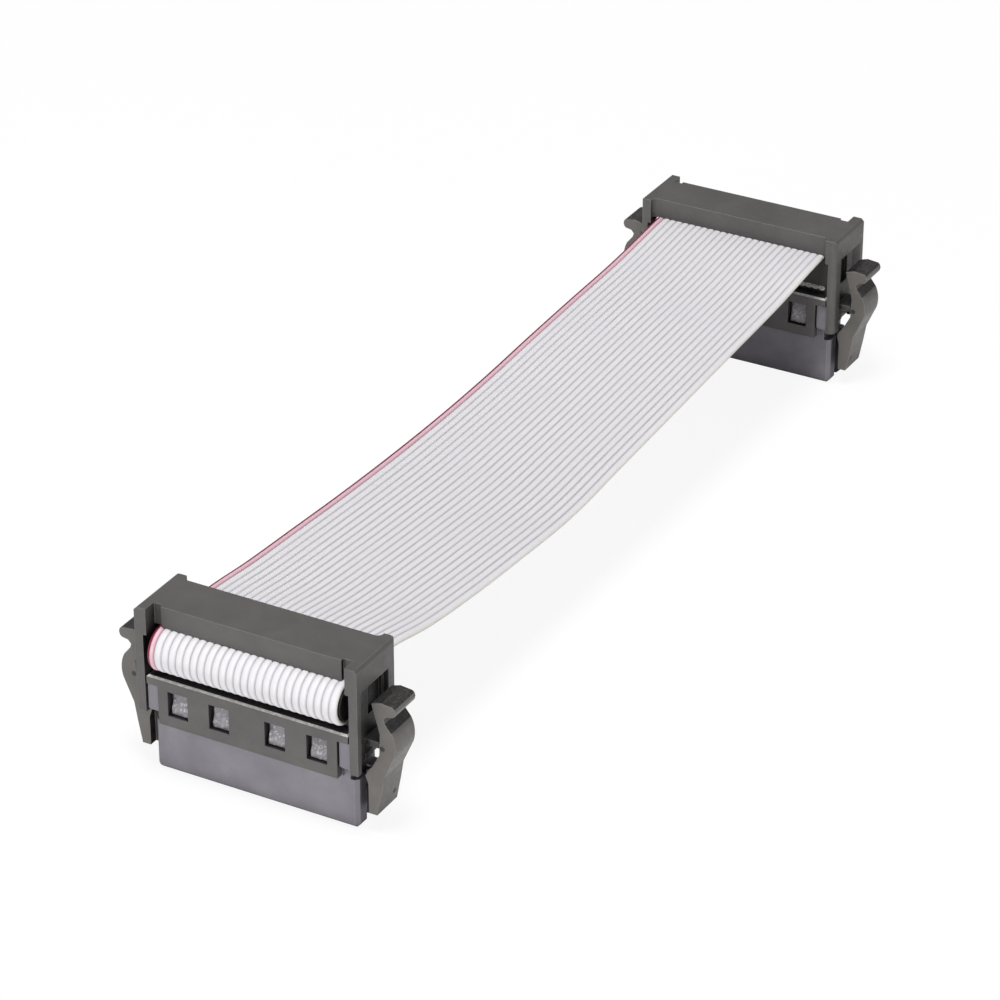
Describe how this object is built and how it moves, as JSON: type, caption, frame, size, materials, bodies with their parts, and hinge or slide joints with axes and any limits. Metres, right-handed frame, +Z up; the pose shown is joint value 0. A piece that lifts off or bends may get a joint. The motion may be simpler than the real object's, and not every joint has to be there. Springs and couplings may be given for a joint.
{
  "type": "ribbon cable assembly",
  "caption": "Flat ribbon cable folded into a two-row socket connector at each end, each held by a strain relief with two hinged latch levers.",
  "frame": {"origin": "on the mating plane, midway between the two connectors and midway along them", "axes": "+Y from the near connector to the far one along the cable, +X along the contact rows with the marked wire at -X, +Z up, away from the mating faces"},
  "size_m": [0.0484, 0.1784, 0.0291],
  "materials": {
    "socket_plastic": "fine matt moulding, slightly violet grey",
    "cover_plastic": "fine matt moulding, warm dark grey",
    "contact_metal": "plated sheet metal",
    "ribbon_insulation": "soft pale grey vinyl",
    "marked_insulation": "soft red vinyl"
  },
  "bodies": {
    "cable": {"near_socket_body": "socket_plastic", "near_contact_block": "cover_plastic", "near_pressing_cover": "cover_plastic", "near_strain_relief": "cover_plastic", "near_contacts_fold_row": "contact_metal", "near_contacts_cable_row": "contact_metal", "far_socket_body": "socket_plastic", "far_contact_block": "cover_plastic", "far_pressing_cover": "cover_plastic", "far_strain_relief": "cover_plastic", "far_contacts_fold_row": "contact_metal", "far_contacts_cable_row": "contact_metal", "ribbon": "ribbon_insulation", "marked_wire": "marked_insulation"},
    "near_left_lever": {"near_latch_lever_left": "cover_plastic"},
    "near_right_lever": {"near_latch_lever_right": "cover_plastic"},
    "far_left_lever": {"far_latch_lever_left": "cover_plastic"},
    "far_right_lever": {"far_latch_lever_right": "cover_plastic"}
  },
  "joints": [
    {"name": "near_left_lever_hinge", "type": "hinge", "parent": "cable", "child": "near_left_lever", "pos_m": [-0.02185, -0.0821, 0.0151], "axis": [0, 1, 0], "range_deg": [0, 12], "stiffness_Nm_per_rad": 0.02},
    {"name": "near_right_lever_hinge", "type": "hinge", "parent": "cable", "child": "near_right_lever", "pos_m": [0.02185, -0.0821, 0.0151], "axis": [0, -1, 0], "range_deg": [0, 12], "stiffness_Nm_per_rad": 0.02},
    {"name": "far_left_lever_hinge", "type": "hinge", "parent": "cable", "child": "far_left_lever", "pos_m": [0.02185, 0.0821, 0.0151], "axis": [0, -1, 0], "range_deg": [0, 12], "stiffness_Nm_per_rad": 0.02},
    {"name": "far_right_lever_hinge", "type": "hinge", "parent": "cable", "child": "far_right_lever", "pos_m": [-0.02185, 0.0821, 0.0151], "axis": [0, 1, 0], "range_deg": [0, 12], "stiffness_Nm_per_rad": 0.02}
  ]
}
